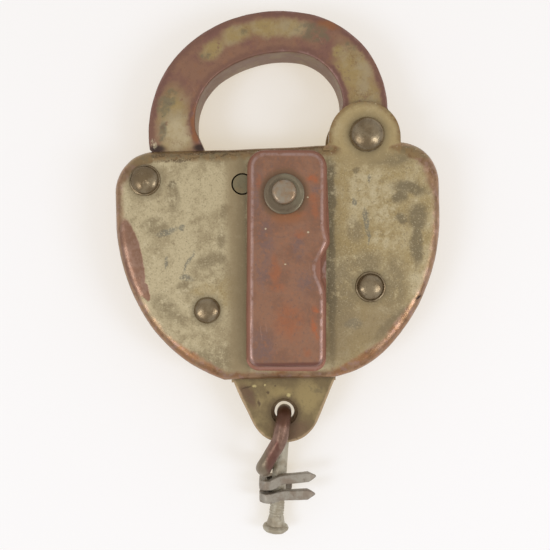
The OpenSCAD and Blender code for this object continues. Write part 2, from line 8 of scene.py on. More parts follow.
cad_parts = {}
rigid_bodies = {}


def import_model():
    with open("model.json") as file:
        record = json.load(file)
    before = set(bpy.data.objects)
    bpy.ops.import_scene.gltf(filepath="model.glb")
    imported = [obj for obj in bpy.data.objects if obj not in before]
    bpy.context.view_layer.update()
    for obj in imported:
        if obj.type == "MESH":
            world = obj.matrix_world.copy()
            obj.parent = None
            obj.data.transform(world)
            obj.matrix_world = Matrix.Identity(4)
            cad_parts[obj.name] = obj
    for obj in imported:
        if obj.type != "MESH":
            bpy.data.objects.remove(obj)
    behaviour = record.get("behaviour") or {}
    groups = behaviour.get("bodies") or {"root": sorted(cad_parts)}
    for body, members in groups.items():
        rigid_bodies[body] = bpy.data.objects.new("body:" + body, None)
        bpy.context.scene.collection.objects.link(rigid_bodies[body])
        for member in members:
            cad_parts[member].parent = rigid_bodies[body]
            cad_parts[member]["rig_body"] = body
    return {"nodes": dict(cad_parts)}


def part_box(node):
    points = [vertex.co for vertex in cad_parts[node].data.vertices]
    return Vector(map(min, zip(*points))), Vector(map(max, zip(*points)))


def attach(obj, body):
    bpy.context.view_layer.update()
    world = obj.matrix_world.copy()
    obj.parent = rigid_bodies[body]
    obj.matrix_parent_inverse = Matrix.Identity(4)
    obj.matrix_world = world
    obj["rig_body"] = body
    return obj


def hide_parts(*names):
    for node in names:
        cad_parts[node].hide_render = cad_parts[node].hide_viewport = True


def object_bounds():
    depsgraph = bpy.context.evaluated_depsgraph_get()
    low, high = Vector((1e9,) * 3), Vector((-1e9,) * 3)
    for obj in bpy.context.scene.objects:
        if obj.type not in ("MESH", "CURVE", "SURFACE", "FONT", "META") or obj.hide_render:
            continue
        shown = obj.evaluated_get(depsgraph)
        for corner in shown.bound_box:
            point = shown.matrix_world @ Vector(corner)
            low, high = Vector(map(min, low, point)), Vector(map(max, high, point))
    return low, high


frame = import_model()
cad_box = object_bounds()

# Lengths are in metres. Places on the lock are given in millimetres from the middle of the case's
# bottom edge, the way it was drawn, with z measured from what the lock lies on.
MM = 0.001
CASE_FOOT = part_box("front_plate")[0].y


def centre_of(node):
    low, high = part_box(node)
    return (low + high) / 2


def paint(red, green, blue):
    """A colour written in everyday 0 to 255 values, as a shader wants it."""
    linear = [((v / 255 + 0.055) / 1.055) ** 2.4 if v > 10 else v / 255 / 12.92 for v in (red, green, blue)]
    return (*linear, 1.0)


# ---------------------------------------------------------------- mesh tools


def only(piece):
    """Makes one piece the selected and active one."""
    bpy.ops.object.select_all(action="DESELECT")
    piece.select_set(True)
    bpy.context.view_layer.objects.active = piece


def edit(piece, mode="VERT"):
    only(piece)
    bpy.ops.object.mode_set(mode="EDIT")
    bpy.ops.mesh.select_mode(type=mode)
    bpy.ops.mesh.select_all(action="SELECT")


def done():
    bpy.ops.object.mode_set(mode="OBJECT")


def finish_with(piece, kind, **settings):
    """Adds a modifier and applies it."""
    modifier = piece.modifiers.new(kind.lower(), kind)
    for key, value in settings.items():
        setattr(modifier, key, value)
    only(piece)
    bpy.ops.object.modifier_apply(modifier=modifier.name)


def copy_of(node, name):
    """A copy of a CAD node, with its triangles joined and its flat faces made whole."""
    source = frame["nodes"][node]
    piece = bpy.data.objects.new(name, source.data.copy())
    bpy.context.scene.collection.objects.link(piece)
    piece.data.materials.clear()
    edit(piece)
    bpy.ops.mesh.customdata_custom_splitnormals_clear()
    bpy.ops.mesh.remove_doubles(threshold=2e-6)
    bpy.ops.mesh.dissolve_limited(angle_limit=math.radians(0.4))
    done()
    return piece


def worn_edges(piece, width, steps=3, angle=40):
    """Rounds the sharp edges, as wear does."""
    finish_with(piece, "BEVEL", width=width * MM, segments=steps, limit_method="ANGLE",
                angle_limit=math.radians(angle), use_clamp_overlap=True, harden_normals=False)


def cut_in_grid(piece, pitch, axes="XY"):
    """Cuts all faces along a square grid, so that they can carry dents and wear."""
    low = Vector(min(v.co[i] for v in piece.data.vertices) for i in range(3))
    high = Vector(max(v.co[i] for v in piece.data.vertices) for i in range(3))
    edit(piece)
    for axis in axes:
        i = "XYZ".index(axis)
        normal = [float(k == i) for k in range(3)]
        count = int((high[i] - low[i]) / (pitch * MM))
        for k in range(1, count + 1):
            point = low.copy()
            point[i] += (high[i] - low[i]) * (k / (count + 1)) + 1.3e-6
            bpy.ops.mesh.select_all(action="SELECT")
            bpy.ops.mesh.bisect(plane_co=point, plane_no=normal)
    done()


def dents(piece, size, depth, seed=0, where=None):
    """Moves the surface in and out by a smooth noise of that size and depth in millimetres."""
    offset = Vector((seed * 7.3, seed * 3.1, seed * 5.7))
    normals = [v.normal.copy() for v in piece.data.vertices]
    for v, normal in zip(piece.data.vertices, normals):
        share = 1.0 if where is None else where(v.co, normal)
        if share > 0:
            height = noise.noise(v.co / (size * MM) + offset)
            v.co += normal * (height * depth * MM * share)
    piece.data.update()


def swell(piece, amount):
    """Moves the whole surface outwards by that many millimetres."""
    normals = [v.normal.copy() for v in piece.data.vertices]
    for v, normal in zip(piece.data.vertices, normals):
        v.co += normal * (amount * MM)


def smooth(piece, angle=35):
    only(piece)
    bpy.ops.object.shade_smooth_by_angle(angle=math.radians(angle))


def mark(piece, name, distance):
    """Stores a value for each point of the surface, which the finishes read."""
    attribute = piece.data.attributes.new(name, "FLOAT", "POINT")
    attribute.data.foreach_set("value", [distance(v.co) for v in piece.data.vertices])


def outline_distance(piece, height):
    """Gives a function that measures how far a point lies from the outline at that height, in mm."""
    mesh = piece.data
    flat = {}
    for polygon in mesh.polygons:
        for key in polygon.edge_keys:
            flat.setdefault(key, []).append(abs(polygon.normal.z) > 0.99)
    points = []
    for (a, b), kinds in flat.items():
        start, end = mesh.vertices[a].co, mesh.vertices[b].co
        level = abs(start.z - height) < 2e-5 and abs(end.z - height) < 2e-5
        if level and any(kinds) and not all(kinds):
            steps = max(1, int((end - start).length / (0.25 * MM)))
            points += [start.lerp(end, k / steps) for k in range(steps)]
    tree = kdtree.KDTree(len(points))
    for index, point in enumerate(points):
        tree.insert((point.x, point.y, 0), index)
    tree.balance()
    return lambda co: tree.find((co.x, co.y, 0))[2] / MM


def turned(name, centre, profile, sides=48):
    """A turned piece: a disc drawn through (radius, height) steps in millimetres about an upright axis."""
    bpy.ops.object.select_all(action="DESELECT")
    radius, height = profile[0]
    bpy.ops.mesh.primitive_circle_add(vertices=sides, radius=radius * MM, fill_type="NGON",
                                      location=(centre.x, centre.y, height * MM))
    piece = bpy.context.object
    piece.name = piece.data.name = name
    bpy.ops.object.transform_apply(location=True)
    edit(piece, "FACE")
    for (r0, z0), (r1, z1) in zip(profile, profile[1:]):
        bpy.ops.mesh.extrude_region_move(TRANSFORM_OT_translate={"value": (0, 0, (z1 - z0) * MM)})
        bpy.ops.transform.resize(value=(r1 / r0, r1 / r0, 1), center_override=(centre.x, centre.y, z1 * MM))
    bpy.ops.mesh.poke()
    bpy.ops.mesh.select_all(action="SELECT")
    bpy.ops.mesh.normals_make_consistent(inside=False)
    done()
    return piece


def stands_for(piece, node):
    """The piece takes a CAD node's place and rides where it rides."""
    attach(piece, frame["nodes"][node]["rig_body"])
    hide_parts(node)


# ---------------------------------------------------------------- shader tools


class Tone:
    """A shader socket that can be added, multiplied and compared as a number can."""

    def __init__(self, finish, socket):
        self.finish = finish
        self.socket = socket

    def maths(self, operation, first, second=0.0):
        return self.finish.node("ShaderNodeMath", {"operation": operation}, {0: first, 1: second})

    def __add__(self, other):
        return self.maths("ADD", self, other)

    def __radd__(self, other):
        return self.maths("ADD", other, self)

    def __sub__(self, other):
        return self.maths("SUBTRACT", self, other)

    def __rsub__(self, other):
        return self.maths("SUBTRACT", other, self)

    def __mul__(self, other):
        return self.maths("MULTIPLY", self, other)

    def __rmul__(self, other):
        return self.maths("MULTIPLY", other, self)

    def __or__(self, other):
        return self.maths("MAXIMUM", self, other)

    def __pow__(self, other):
        return self.maths("POWER", self, other)


class Finish:
    """A material in the making. Lengths in it are millimetres on the lock."""

    def __init__(self, name):
        self.material = bpy.data.materials.new(name)
        self.material.use_nodes = True
        self.tree = self.material.node_tree
        self.surface = self.tree.nodes["Principled BSDF"]
        coordinates = self.node("ShaderNodeTexCoord", output="Object")
        self.place = self.vector("MULTIPLY_ADD", coordinates, (1 / MM,) * 3, (0, -CASE_FOOT / MM, 0))
        self.loose = self.wander(self.place, 1.6, 3.2, seed=11)

    def node(self, kind, settings=None, inputs=None, output=0):
        made = self.tree.nodes.new(kind)
        for key, value in (settings or {}).items():
            setattr(made, key, value)
        for key, value in (inputs or {}).items():
            if isinstance(value, Tone):
                self.tree.links.new(value.socket, made.inputs[key])
            else:
                made.inputs[key].default_value = value
        return Tone(self, made.outputs[output])

    def vector(self, operation, *inputs, output="Vector"):
        return self.node("ShaderNodeVectorMath", {"operation": operation}, dict(enumerate(inputs)), output)

    def noise(self, size, detail=3.0, rough=0.55, seed=0.0, at=None, twist=0.0, output=0):
        """Cloudy noise between 0 and 1, with features of that size."""
        return self.node("ShaderNodeTexNoise", {"noise_dimensions": "4D"},
                         {"Vector": at or self.place, "W": seed, "Scale": 1 / size, "Detail": detail,
                          "Roughness": rough, "Distortion": twist}, output)

    def cells(self, size, seed=0.0, at=None):
        """Distance from the middle of the nearest of many scattered cells."""
        return self.node("ShaderNodeTexVoronoi", {"voronoi_dimensions": "4D"},
                         {"Vector": at or self.place, "W": seed, "Scale": 1 / size, "Randomness": 1.0})

    def wander(self, at, reach, size, seed=0.0):
        """The coordinates pushed about by a noise, so that stains get ragged edges."""
        push = self.noise(size, 4, 0.6, seed, at, output="Color")
        return self.vector("MULTIPLY_ADD", self.vector("SUBTRACT", push, (0.5,) * 3), (2 * reach,) * 3, at)

    def ramp(self, value, low, high, smoothly=True):
        """0 where the value is at low, 1 where it is at high."""
        how = "SMOOTHSTEP" if smoothly else "LINEAR"
        flip = low > high
        ends = {"From Min": min(low, high), "From Max": max(low, high), "To Min": float(flip),
                "To Max": float(not flip)}
        return self.node("ShaderNodeMapRange", {"interpolation_type": how}, {"Value": value, **ends})

    def axis(self, name, at=None):
        return self.node("ShaderNodeSeparateXYZ", inputs={0: at or self.place}, output=name)

    def facing_up(self):
        normal = self.node("ShaderNodeTexCoord", output="Normal")
        return self.node("ShaderNodeSeparateXYZ", inputs={0: normal}, output="Z")

    def attribute(self, name):
        return self.node("ShaderNodeAttribute", {"attribute_name": name}, output="Fac")

    def stain(self, x, y, half_x, half_y, turn=0.0, soft=0.45, at=None):
        """An oval stain that fades out round (x, y)."""
        at = at or self.loose
        if turn:
            cos, sin = math.cos(math.radians(turn)), math.sin(math.radians(turn))
            along = self.vector("DOT_PRODUCT", at, (cos / half_x, sin / half_x, 0), output="Value")
            across = self.vector("DOT_PRODUCT", at, (-sin / half_y, cos / half_y, 0), output="Value")
            local = self.node("ShaderNodeCombineXYZ", inputs={"X": along, "Y": across})
            middle = ((x * cos + y * sin) / half_x, (y * cos - x * sin) / half_y, 0)
            local = self.vector("SUBTRACT", local, middle)
        else:
            local = self.vector("MULTIPLY_ADD", at, (1 / half_x, 1 / half_y, 0),
                                (-x / half_x, -y / half_y, 0))
        reach = self.vector("LENGTH", local, output="Value")
        return self.ramp(reach, 1 + soft, 1 - soft)

    def stains(self, ovals, soft=0.45, at=None):
        """Several oval stains in one mask."""
        total = 0.0
        for oval in ovals:
            x, y, half_x, half_y, turn = (*oval, 0)[:5]
            total = self.stain(x, y, half_x, half_y, turn, soft, at) | total
        return total

    def mix(self, base, top, share, how="MIX"):
        """Lays the top colour over the base by its share."""
        return self.node("ShaderNodeMix", {"data_type": "RGBA", "blend_type": how, "clamp_factor": True},
                         {0: share, 6: base, 7: top}, output=2)

    def set(self, **values):
        """Sets the surface's sockets: words joined by _ name them."""
        for key, value in values.items():
            socket = self.surface.inputs[key.replace("_", " ").title().replace("Ior", "IOR")]
            if isinstance(value, Tone):
                self.tree.links.new(value.socket, socket)
            else:
                socket.default_value = value

    def relief(self, height, depth):
        """Fine relief in the surface, of that depth in millimetres."""
        normal = self.node("ShaderNodeBump", inputs={"Height": height, "Strength": 1.0,
                                                     "Distance": depth * MM})
        self.set(normal=normal)


# Colours of the metals and what lies on them; UMBER, SOOT, ROSE and LILAC also serve as painted shade and
# painted highlights
CREAM = paint(187, 171, 134)
PALE = paint(206, 192, 158)
TAN = paint(160, 143, 108)
GOLD = paint(157, 134, 84)
SAND = paint(166, 146, 104)
OLIVE = paint(134, 118, 86)
MOSS = paint(112, 98, 70)
UMBER = paint(82, 62, 42)
GREEN_GREY = paint(118, 112, 88)
BLUE_GREY = paint(118, 114, 98)
ROSE = paint(190, 152, 132)
LILAC = paint(160, 126, 116)
BROWN = paint(141, 104, 82)
RUST = paint(152, 96, 52)
EMBER = paint(176, 96, 56)
SOOT = paint(48, 34, 27)
BRASS = paint(172, 146, 90)


def plating(f, light, olive, dark, bluish, yellow):
    """Worn plating: mottled cream and tan, with placed stains; some olive and dark ovals on the front are
    painted shade beside the cover. Returns colour and a pitting mask.
    """
    cloud = f.noise(7.0, 4, 0.6, seed=1)
    mottle = f.noise(1.7, 6, 0.68, seed=2)
    grain = f.noise(0.38, 3, 0.6, seed=3)
    side = f.ramp(f.axis("X"), -12, 16)
    ground = f.mix(CREAM, TAN, f.ramp(cloud + 0.5 * mottle, 0.66, 0.9))
    ground = f.mix(ground, GOLD, side * f.ramp(cloud + 0.3 * mottle, 0.42, 0.72) * 0.75)
    ground = f.mix(ground, OLIVE, f.ramp(mottle, 0.56, 0.72) * 0.55)
    ground = f.mix(ground, PALE, f.ramp(mottle, 0.45, 0.3) * 0.45)
    ground = f.mix(ground, CREAM, f.stains(light, 0.6) * f.ramp(mottle, 0.62, 0.42) * 0.85)
    ground = f.mix(ground, SAND, f.stains(yellow, 0.6) * 0.6)
    ground = f.mix(ground, GOLD, f.stains(yellow, 0.6) * f.ramp(mottle, 0.42, 0.6) * 0.5)
    ground = f.mix(ground, OLIVE, f.stains(olive, 0.5) * f.ramp(mottle, 0.32, 0.52) * 0.8)
    ground = f.mix(ground, MOSS, f.stains(dark, 0.4) * f.ramp(mottle, 0.26, 0.5) * 0.85)
    ground = f.mix(ground, BLUE_GREY, f.stains(bluish, 0.4) * f.ramp(grain, 0.3, 0.55) * 0.8)
    specks = f.ramp(f.cells(0.9, seed=5), 0.2, 0.08) * f.ramp(f.noise(2.6, 2, seed=6), 0.5, 0.62)
    ground = f.mix(ground, UMBER, specks * 0.8)
    tarnish = f.noise(0.75, 4, 0.72, seed=24)
    ground = f.mix(ground, paint(128, 110, 78), f.ramp(tarnish, 0.54, 0.68) * 0.55)
    ground = f.mix(ground, MOSS, f.ramp(grain, 0.53, 0.68) * 0.5)
    ground = f.mix(ground, PALE, f.ramp(grain, 0.45, 0.32) * 0.4)
    return ground, mottle, grain, specks


def case_finish(name, front):
    """The case: plating on the faces, bare copper and brown metal where the rim has worn through."""
    f = Finish(name)
    if front:
        light = [(-18, 45, 4.6, 4.6), (-22.6, 33, 3.4, 4.6), (-17, 24, 3.2, 2.2), (-24, 25, 2.6, 3),
                 (-19, 38, 3, 3), (21.4, 45, 4.8, 5.6), (25.5, 38.5, 3.8, 2.8), (24, 33, 3, 2),
                 (-30.5, 41, 2.6, 2), (-24, 12, 2.2, 1.6)]
        # The long olive oval at (-8.6, 30) is painted shade along the cover's left side.
        olive = [(-28.6, 36.8, 2.6, 2.0), (-24.3, 43.6, 1.5, 3.6, 8), (-12.3, 39.8, 1.2, 1.6),
                 (-13.3, 33, 1.0, 2.6), (-13.5, 28.8, 1.3, 1.3), (-17, 28.2, 3.0, 1.6, 20),
                 (-26.3, 17.2, 4.6, 1.9, -42), (-22.4, 22.4, 1.7, 1.2), (-8.6, 30, 1.6, 24),
                 (-13, 52, 3, 1.2), (15, 20, 3.4, 9), (24, 51.4, 8, 2.2), (20, 27, 4, 2.6),
                 (18, 34.5, 1.8, 2.8), (27, 22, 3, 6), (-14, 5, 10, 3)]
        # The long dark ovals at (12.7, 43), (12.3, 25) and (-7.9, 26) are painted shade beside the raised
        # cover.
        dark = [(31, 44.4, 4.0, 1.5, -8), (28.7, 42.3, 1.8, 1.6), (32.7, 37.5, 2.3, 3.2),
                (32.4, 31, 1.4, 5.2),
                (25.6, 51.2, 5, 1.3, 5), (29.2, 37, 1.4, 1.4), (12.7, 43, 1.1, 8.5), (12.3, 25, 1.0, 22),
                (-7.9, 26, 0.7, 26), (26.4, 13, 1.2, 5.5, -50), (18.6, 48.6, 0.8, 0.8),
                (-24.6, 46.5, 0.9, 0.9)]
        bluish = [(-25.9, 35.5, 2.3, 0.7, 12), (-21.2, 28, 0.4, 2.7, -22), (-21.8, 24.3, 1.4, 0.8),
                  (20.7, 36.7, 0.62, 2.9, 4), (21.2, 33, 0.35, 1.6, -8), (-26.4, 28, 0.5, 1.3),
                  (17.2, 12.7, 1.8, 1.3), (-22.6, 36.2, 0.8, 0.5), (21.6, 46.6, 0.26, 1.2),
                  (18, 41.5, 0.6, 0.8)]
        yellow = [(-12, 20.5, 2.8, 3.6), (-17.2, 21.4, 3.2, 1.4), (15.4, 46, 1.3, 9), (29, 49.5, 4, 3),
                  (22, 12.5, 5, 3.4), (17, 7.5, 3.4, 2.6), (27.6, 27, 2, 5), (17, 60, 2, 4)]
    else:
        light = [(-10, 40, 9, 8), (18, 22, 8, 9), (-22, 22, 6, 6), (12, 44, 6, 4)]
        olive = [(-24, 38, 6, 5), (4, 28, 7, 10, 30), (26, 40, 5, 5), (-6, 10, 12, 4), (20, 50, 6, 4)]
        dark = [(-20, 30, 3, 2), (8, 36, 2, 5, 30), (28, 30, 2, 3), (0, 18, 4, 2), (21, 57, 6, 6)]
        bluish = [(-14, 26, 1, 3, 40), (14, 14, 2, 1.4), (30, 38, 1, 2)]
        yellow = [(-28, 26, 4, 6), (10, 8, 6, 3), (-2, 48, 8, 3)]
    ground, mottle, grain, specks = plating(f, light, olive, dark, bluish, yellow)

    edge = f.attribute("edge")
    height = f.axis("Y")
    ear = f.ramp(height, 53.9, 55.1)
    top = f.ramp(height, 50.6, 51.8) * (1 - ear)
    low = f.ramp(height, 20, 8)
    worn_wide = f.stains([(22, 5, 9, 3.4, 25), (30, 13, 3, 7, -50), (34, 49, 3, 6, 40), (-33, 51, 3.6, 4),
                          (-22, 5, 9, 3, -30)], 0.5)
    ragged = (mottle - 0.5) * 2.4 + (f.noise(0.8, 3, seed=8) - 0.5) * 0.9
    width = 1.8 + 1.3 * worn_wide + 0.7 * top - 1.2 * ear
    rim = f.ramp(edge + ragged - width, 0.9, -0.7)
    bare = f.mix(paint(158, 122, 92), paint(140, 108, 82), f.ramp(f.noise(4.5, 3, seed=9), 0.42, 0.6))
    # Pink on the rim, stronger towards the right: partly pink copper, partly a painted highlight.
    bare = f.mix(bare, ROSE, f.ramp(f.noise(2.4, 3, seed=10), 0.46, 0.66) * f.ramp(f.axis("X"), 6, 30) * 0.8)
    bare = f.mix(bare, RUST, low * f.ramp(f.noise(3.6, 3, seed=12), 0.4, 0.6) * 0.5)
    bare = f.mix(bare, paint(120, 84, 56), f.ramp(f.noise(1.8, 4, seed=23), 0.52, 0.66) * 0.7)
    bare = f.mix(bare, LILAC, f.ramp(f.noise(1.6, 2, seed=13), 0.52, 0.66) * 0.6)
    bare = f.mix(bare, SAND, f.ramp(grain, 0.54, 0.66) * 0.4)
    tarnish = f.mix(paint(146, 120, 82), OLIVE, f.ramp(mottle, 0.46, 0.6))
    tarnish = f.mix(tarnish, paint(120, 88, 58), f.ramp(f.noise(1.2, 4, seed=15), 0.54, 0.66) * 0.7)
    tarnish = f.mix(tarnish, PALE, f.ramp(f.noise(0.7, 4, seed=16), 0.62, 0.7) * 0.7)
    bare = f.mix(bare, tarnish, (top | ear) * 0.9)
    if front:
        # Painted shade: an olive band along the cover's left side.
        cover_left_shade = f.ramp(f.axis("X"), -13.4, -10.6) * f.ramp(f.axis("X"), -6.6, -8.4)
        ground = f.mix(ground, paint(146, 127, 92), cover_left_shade * 0.85)
        ground = f.mix(ground, paint(134, 115, 82), f.stains([(22, 12, 9, 6), (14, 8, 5, 5)], 0.8) * 0.6)
        ground = f.mix(ground, paint(172, 150, 104), f.stain(21.3, 57.5, 9.5, 8, soft=0.4) * 0.65)
    colour = f.mix(ground, bare, rim * 0.92)
    if front:
        chip = f.stain(-34.3, 29.4, 2.3, 9.3, 11, soft=0.09, at=f.wander(f.place, 0.55, 1.8, seed=21))
        chip = chip | f.stain(-31.7, 21.8, 1.0, 2.6, 24, soft=0.12)
        scar = f.mix(paint(138, 104, 84), paint(150, 118, 100), f.ramp(f.noise(1.4, 4, seed=14), 0.42, 0.6))
        colour = f.mix(colour, scar, chip)
        crack = f.stain(32.6, 18.6, 0.85, 0.28, 30, soft=0.5, at=f.place)
        colour = f.mix(colour, SOOT, crack * 0.9)
        top_dirt = f.stains([(-27.5, 53.6, 2.0, 0.5), (-15.5, 53.8, 8, 0.3, 3), (-23, 52.2, 5, 0.3, 4),
                             (-12.5, 52.6, 3, 0.25, 6)], 0.7)
        colour = f.mix(colour, UMBER, top_dirt * f.ramp(grain, 0.36, 0.56) * 0.7)
        halo = f.stains([(-31, 47.5, 4.4, 4.4), (-17.1, 16.7, 3.8, 3.8), (21.3, 21.3, 4.4, 4.4),
                         (21.3, 57.0, 5.2, 5.2)], 0.25, at=f.wander(f.place, 0.3, 1.5, seed=22))
        colour = f.mix(colour, MOSS, halo * 0.5)
        gap = f.ramp(f.axis("X"), 12.8, 11.6) * f.ramp(f.axis("X"), 8.5, 9.5) * f.ramp(height, 16, 26)
        crumbs = f.ramp(f.cells(0.75, seed=17), 0.32, 0.2) * f.ramp(f.noise(1.6, 3, seed=18), 0.46, 0.56)
        colour = f.mix(colour, UMBER, gap * crumbs * 0.75)
        pale_crumbs = f.ramp(f.cells(0.9, seed=19), 0.2, 0.1) * f.ramp(f.noise(1.6, 3, seed=20), 0.48, 0.58)
        colour = f.mix(colour, SAND, gap * pale_crumbs * 0.8)
        rim = rim | chip
    else:
        rim = rim | f.ramp(edge, 0.1, 0.0)
    sides = f.ramp(f.facing_up().maths("ABSOLUTE", f.facing_up()), 0.5, 0.2)
    wall = f.mix(BROWN, OLIVE, f.ramp(cloud_of(f), 0.45, 0.6) * 0.8)
    colour = f.mix(colour, wall, sides * 0.75)
    relief = mottle * 0.5 + grain * 0.35 + specks * -0.6 + (1 - rim) * 0.35
    f.set(base_color=colour, metallic=rim * 0.55 + 0.18, roughness=0.5 - rim * 0.16 + (mottle - 0.5) * 0.3)
    f.relief(relief, 0.07)
    return f.material


def cloud_of(f):
    return f.noise(6.0, 4, 0.6, seed=30)


def bow_finish():
    """The shackle: plating left in the middle of the bow and on both legs, brown metal elsewhere."""
    f = Finish("bow_metal")
    mottle = f.noise(1.7, 6, 0.66, seed=41)
    grain = f.noise(0.4, 3, 0.6, seed=42)
    cloud = f.noise(6.0, 4, 0.6, seed=43)
    edge = f.attribute("edge")
    metal = f.mix(BROWN, paint(128, 90, 78), f.ramp(cloud, 0.42, 0.62))
    metal = f.mix(metal, paint(146, 104, 76), f.ramp(mottle, 0.5, 0.66) * 0.5)
    fine = f.noise(0.9, 5, 0.7, seed=46)
    metal = f.mix(metal, paint(118, 86, 70), f.ramp(fine, 0.52, 0.66) * 0.4)
    metal = f.mix(metal, paint(112, 78, 68), f.ramp(edge + (mottle - 0.5) * 2.6, 2.0, 0.8) * 0.55)
    # Painted highlight: lilac on the outer rounded edge.
    metal = f.mix(metal, LILAC, f.ramp(edge + (mottle - 0.5) * 2, 0.7, 0.1) * f.ramp(cloud, 0.42, 0.6) * 0.5)
    metal = f.mix(metal, RUST,
                  f.stains([(13, 83.4, 2.6, 1.2, -15), (24.6, 76, 0.9, 4, 12), (-19.2, 61, 0.7, 4),
                                         (-19, 57.6, 0.8, 1.4)], 0.5) * 0.6)
    left = [(-24.2, 61.5, 3.9, 7.6), (-23.4, 56.5, 4.0, 3.0)]
    top = [(-14.4, 78.6, 3.4, 2.0, 35), (-8.6, 81.8, 4.4, 2.1, 20), (-2, 83.2, 4.4, 2.2, 4),
           (3.6, 83.2, 4.2, 2.4)]
    right = [(19, 72.5, 4.3, 6.6, 18), (21, 66, 4.4, 5.2), (21.3, 58, 6, 6), (15.6, 77, 1.8, 1.6)]
    plated = f.stains(left + top + right, 0.5)
    plated = plated * f.ramp(edge + (mottle - 0.5) * 2.4, 0.9, 2.0) * f.ramp(mottle, 0.72, 0.58)
    plate = f.mix(TAN, GOLD, f.ramp(cloud, 0.4, 0.6))
    plate = f.mix(plate, CREAM, f.stain(-23.2, 58.5, 3.4, 3.6) * 0.85)
    plate = f.mix(plate, SAND, f.ramp(mottle, 0.5, 0.36) * 0.6)
    plate = f.mix(plate, OLIVE, f.ramp(mottle, 0.54, 0.66) * 0.6)
    colour = f.mix(metal, plate, plated * 0.92)
    grey = f.stains([(8.8, 82.2, 3.4, 2.3, -10), (11, 80.6, 2.4, 1.2, -15), (-25.6, 66.4, 2.3, 1.7, 20),
                     (-26.6, 64.2, 1.4, 1.6), (-24.4, 68.2, 1.2, 0.9), (-26.8, 58.6, 0.9, 3),
                     (18.2, 78.4, 1.6, 0.8, -30), (-7.2, 82, 1.2, 0.8), (-16.5, 77, 1, 0.8)], 0.35)
    colour = f.mix(colour, paint(112, 104, 80), grey * f.ramp(mottle, 0.34, 0.56) * 0.7)
    stained = f.ramp(f.noise(3.4, 5, 0.66, seed=45), 0.5, 0.66) * plated
    colour = f.mix(colour, paint(128, 98, 60), stained * f.ramp(grain, 0.35, 0.55) * 0.55)
    specks = f.ramp(f.cells(1.1, seed=44), 0.16, 0.06)
    colour = f.mix(colour, UMBER, specks * 0.5)
    colour = f.mix(colour, UMBER, f.ramp(grain, 0.58, 0.7) * 0.25)
    # Painted shade: dark notches at the left leg's corners where it goes into the case.
    leg_slot_shade = f.stains([(-28.3, 55.1, 2.0, 0.9), (-18.1, 55.2, 1.6, 0.8)], 0.5, at=f.place)
    colour = f.mix(colour, SOOT, leg_slot_shade * 0.9)
    upright = f.ramp(f.facing_up(), 0.75, 0.3)
    wall = f.mix(paint(122, 90, 68), paint(138, 116, 84), f.ramp(cloud + (mottle - 0.5) * 0.6, 0.44, 0.6))
    colour = f.mix(colour, wall, upright * 0.8)
    chips = f.stains([(-29.4, 69.2, 0.5, 1.1), (-28.4, 71, 0.4, 1), (-29.8, 66.6, 0.4, 0.7),
                      (-29, 56.5, 0.6, 1)], 0.5)
    colour = f.mix(colour, PALE, chips * f.ramp(grain, 0.4, 0.6) * 0.8)
    scratches = scratch_marks(f, 50)
    colour = f.mix(colour, ROSE, scratches * (1 - plated) * 0.35)
    f.set(base_color=colour, metallic=0.45 - plated * 0.25,
          roughness=0.42 + plated * 0.1 + (mottle - 0.5) * 0.3)
    f.relief(mottle * 0.5 + grain * 0.3 - specks * 0.5 + plated * 0.3 - scratches * 0.2, 0.06)
    return f.material


def scratch_marks(f, seed, turn=25):
    """Fine straight scratches in one main direction."""
    stretched = f.node("ShaderNodeMapping", {"vector_type": "TEXTURE"},
                       {"Vector": f.place, "Rotation": (0, 0, math.radians(turn)), "Scale": (0.16, 9.0, 1.0)})
    lines = f.node("ShaderNodeTexNoise", {"noise_dimensions": "4D"},
                   {"Vector": stretched, "W": seed, "Scale": 1.0, "Detail": 2.0, "Roughness": 0.6})
    return f.ramp(lines, 0.64, 0.72) * f.ramp(f.noise(5.0, 2, seed=seed + 1), 0.48, 0.6)


